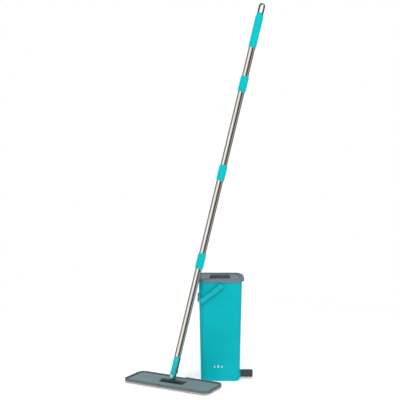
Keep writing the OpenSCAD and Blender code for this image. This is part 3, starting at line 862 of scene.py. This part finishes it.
def make_pile():
    """Short looped yarn round the pad's side and over its underside."""
    points, faces = [], []
    outline = pad_outline(0.2 * MM)
    turn = HEAD.to_3x3()
    for i, (spot, out) in enumerate(outline):
        tangent = Vector((-out.y, out.x, 0))
        for row, height in enumerate((1.9, 3.3, 4.7)):
            if (i + row) % 2:
                continue
            root = Vector((spot.x, spot.y, height * MM)) + tangent * random.uniform(-0.5, 0.5) * MM
            stand = Vector((out.x, out.y, random.uniform(-0.7, 0.1))).normalized()
            along = (tangent + UP * random.uniform(-0.35, 0.35)).normalized()
            add_loop(points, faces, HEAD @ root, turn @ along, turn @ stand, random.uniform(1.6, 2.4) * MM,
                     random.uniform(1.0, 1.7) * MM, 0.42 * MM)
    inset = 3.2 * MM
    while inset < pad_high.y - 1.5 * MM:
        ring = pad_outline(inset)
        if sew_line(inset) < 0.5 * MM:
            for i in range(0, len(ring), 3):
                spot, out = ring[i]
                tangent = Vector((-out.y, out.x, 0))
                root = Vector((spot.x, spot.y, 1.25 * MM)) + tangent * random.uniform(-1, 1) * MM
                along = (tangent + Vector((out.x, out.y, 0)) * random.uniform(-0.8, 0.8)).normalized()
                add_loop(points, faces, HEAD @ root, turn @ along, -UP, random.uniform(1.8, 2.8) * MM,
                         0.75 * MM, 0.42 * MM)
        inset += 3.4 * MM
    finish_piece("pad_pile", bm_from(points, faces), "mop_pad", smooth_angle=100, flat_faces=False)


def make_binding():
    """Woven tape over the pad's upper edge, and the stitches that hold it."""
    points = []
    section = [(1.4, 0.0), (-0.5, -0.2), (-0.9, -0.7), (-0.9, -1.9), (-0.5, -2.3), (1.0, -2.4)]
    for inset, z in section:
        for spot, _ in pad_outline(inset * MM):
            points.append(HEAD @ Vector((spot.x, spot.y, PAD_TOP + z * MM)))
    stitch = pad_outline(-0.9 * MM)
    count = len(stitch)
    faces = ring_faces(len(section), count, closed=True)
    for i in range(0, count, 2):
        spot, out = stitch[i]
        ahead = stitch[(i + 1) % count][0] - spot
        if ahead.length < 0.5 * MM:
            continue
        ahead = ahead.normalized() * 0.95 * MM
        start = len(points)
        z = PAD_TOP - 1.3 * MM
        for shift in (-1.0, 1.0):
            points.append(HEAD @ Vector((spot.x + shift * ahead.x, spot.y + shift * ahead.y, z)))
        for dz, push in ((0.22, 0.0), (0.0, 0.3), (-0.22, 0.0), (0.0, -0.2)):
            pushed = spot + out * push * MM
            points.append(HEAD @ Vector((pushed.x, pushed.y, z + dz * MM)))
        for q in range(4):
            n = (q + 1) % 4
            faces.append((start, start + 2 + q, start + 2 + n))
            faces.append((start + 1, start + 2 + n, start + 2 + q))
    finish_piece("pad_binding", bm_from(points, faces), "mop_pad", smooth_angle=50, flat_faces=False)


make_pad_body()
make_pile()
make_binding()

# ---------------------------------------------------------------- bucket

shell_low, shell_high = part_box("bucket_shell")
RIM_HALF = Vector((-shell_low.x, 72 * MM))
TAPER = 7 * MM
DRAIN_BOSS_R, DRAIN_BORE_R = 14 * MM, 9.05 * MM
LUG_R, PIN_R, PIN_BORE_R = 7.4 * MM, 4 * MM, 4.05 * MM
WALL, FLOOR_T = 2.5 * MM, 3 * MM
SHELL_CORNER = 18 * MM
FOOT = 5 * MM
RIM_Z = shell_high.z


def shell_ring(inset, z):
    """One level of the bucket's rounded outline, drawn in by inset from the outer wall."""
    narrow = TAPER * (1 - z / RIM_Z) + inset
    corner = SHELL_CORNER - inset
    half_x, half_y = RIM_HALF.x - narrow, RIM_HALF.y - narrow
    ring = []
    for quarter, (sx, sy) in enumerate(QUARTERS):
        for k in range(ARC + 1):
            a = math.pi / 2 * (quarter + k / ARC)
            ring.append(Vector((sx * (half_x - corner) + corner * math.cos(a),
                                sy * (half_y - corner) + corner * math.sin(a), z)))
    return ring


def make_bucket():
    """Tapered shell with a rounded foot, a rounded rim and a rounded corner round the floor inside."""
    levels = [40 * MM * k for k in range(1, 9)]
    turns = [math.pi / 12 * k for k in range(7)]
    foot = [(FOOT * (1 - math.sin(a)), FOOT * (1 - math.cos(a))) for a in turns]
    lip = 0.8 * MM
    profile = foot + [(0, z) for z in levels]
    profile += [(0, RIM_Z - lip), (0.25 * lip, RIM_Z - 0.25 * lip), (lip, RIM_Z), (WALL - lip, RIM_Z),
                (WALL - 0.25 * lip, RIM_Z - 0.25 * lip), (WALL, RIM_Z - lip)]
    profile += [(WALL, z) for z in reversed(levels)]
    profile += [(WALL, FLOOR_T + 6 * MM), (WALL + 0.8 * MM, FLOOR_T + 3 * MM),
                (WALL + 3 * MM, FLOOR_T + 0.8 * MM), (WALL + 6 * MM, FLOOR_T)]
    rings = [shell_ring(inset, z) for inset, z in profile]
    count = len(rings[0])
    points = [spot for ring in rings for spot in ring]
    faces = ring_faces(len(rings), count)
    faces.append(tuple(range(count)))
    faces.append(tuple((len(rings) - 1) * count + i for i in range(count)))
    shell = finish_piece("bucket_shell_look", bm_from(points, faces), "bucket_shell")
    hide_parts("bucket_shell")


def boss_ring(name, local, start, end, outer, bore):
    """A moulded boss round a bore, with its outer end rounded."""
    edge = 0.8 * MM
    profile = [(start, outer, 0), (end - edge, outer, 0), (end - 0.3 * edge, outer - 0.3 * edge, 0),
               (end, outer - edge, 0), (end, bore, 0), (start, bore, 0)]
    turned(name, "bucket_shell", local, profile, 64, stands_for=False)


make_bucket()
boss_ring("drain_boss", DRAIN, local_box("drain_nut", DRAIN)[1].z, local_box("drain_gasket", DRAIN)[0].z,
          DRAIN_BOSS_R, DRAIN_BORE_R)
bail_pivot = Vector(joints["bail_swing"]["pos_m"]) * UP
for side, lug_name in ((1, "bail_lug_back"), (-1, "bail_lug_front")):
    lug = axes_frame(bail_pivot, (1, 0, 0), (0, 0, -side))
    boss_ring(lug_name, lug, RIM_HALF.y - 6 * MM, shell_high.y, LUG_R, PIN_BORE_R)

# ---------------------------------------------------------------- generic mark on the bucket


def make_mark():
    """Three plain water drops printed low on the bucket's front."""
    shell = nodes["bucket_shell"].data
    tree = BVHTree.FromPolygons([v.co for v in shell.vertices], [p.vertices for p in shell.polygons])
    middle_x, base_z, ink = -7 * MM, 46 * MM, 0.12 * MM
    points, faces = [], []
    sides, apart = 28, 12 * MM
    for k, size in enumerate((7.0 * MM, 9.5 * MM, 7.0 * MM)):
        centre = middle_x + (k - 1) * apart
        outline = []
        for i in range(sides):
            a = TAU * i / sides
            wide = math.sin(a) * math.sin(a / 2) ** 1.6
            outline.append((centre + 0.42 * size * wide, base_z + size * (0.5 + 0.5 * math.cos(a))))
        faces += prism_faces(len(points), sides)
        for depth in (ink, -ink):
            for x, z in outline:
                hit = tree.ray_cast(Vector((x, -1, z)), Vector((0, 1, 0)))[0]
                points.append((x, hit.y - depth, z))
    finish_piece("drop_mark", bm_from(points, faces), "bucket_shell", "pin_white", flat_faces=False)


make_mark()

# ---------------------------------------------------------------- all other nodes

edge_widths = {
    "collar_ring": 1.0, "slot_panel": 0.5, "neck_guide": 0.7, "bail_handle": 0.9,
    "drain_nut": 0.5, "drain_cap": 0.3, "divider_panel": 0.4, "scraper_holder": 0.4, "scraper_blade": 0.3,
    "roller_bracket_left": 0.5, "roller_bracket_right": 0.5, "lower_connector": 0.6, "button_rail": 0.3,
    "pivot_pin": 0.4, "lock_button": 0.6, "end_plug": 0.5, "hanging_loop": 0.7, "cradle": 0.5,
    "mop_plate": 0.7, "bearing_cap_left": 0.5, "bearing_cap_right": 0.5, "bail_pins": 0.5,
    "drain_gasket": 0.2, "drain_seal": 0.2, "loop_pin": 0.3, "cradle_axle": 0.3, "roller_axle": 0.3,
}
for node_name, edge_width in edge_widths.items():
    refine(node_name, edge_width)


def slim_pins():
    """Draws the handle's pins in a little, so that their facets stay clear of the bores' facets."""
    slim = 0.975
    for vert in bpy.data.objects["bail_pins_look"].data.vertices:
        reach = math.hypot(vert.co.x - bail_pivot.x, vert.co.z - bail_pivot.z)
        if abs(reach - PIN_R) < 0.2 * MM:
            vert.co.x = bail_pivot.x + (vert.co.x - bail_pivot.x) * slim
            vert.co.z = bail_pivot.z + (vert.co.z - bail_pivot.z) * slim


def lower_plug():
    """Lowers the end plug's shoulder, clear of the hanging loop's legs when the loop is folded."""
    drop = 0.2 * MM
    shoulder_low, shoulder_high = -4.6 * MM, -3.9 * MM
    to_pole = POLE.inverted()
    loop_height = (to_pole @ Vector(joints["loop_fold"]["pos_m"])).z
    for vert in bpy.data.objects["end_plug_look"].data.vertices:
        spot = to_pole @ vert.co
        if shoulder_low < spot.z - loop_height < shoulder_high:
            spot.z -= drop
            vert.co = POLE @ spot


def make_spring():
    """The button's spring, on a mesh of its own; the real spring shortens as the button goes in."""
    spring = finish_piece("button_spring_look", cad_bm("button_spring"), "button_spring", flat_faces=False)
    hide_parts("button_spring")
    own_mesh(spring)


slim_pins()
lower_plug()
make_spring()

# Nodes that are shown as they are in CAD
for node_name, carried in nodes.items():
    if not carried.hide_render:
        carried.data.materials.clear()
        carried.data.materials.append(looks[slot_of_node[node_name]])
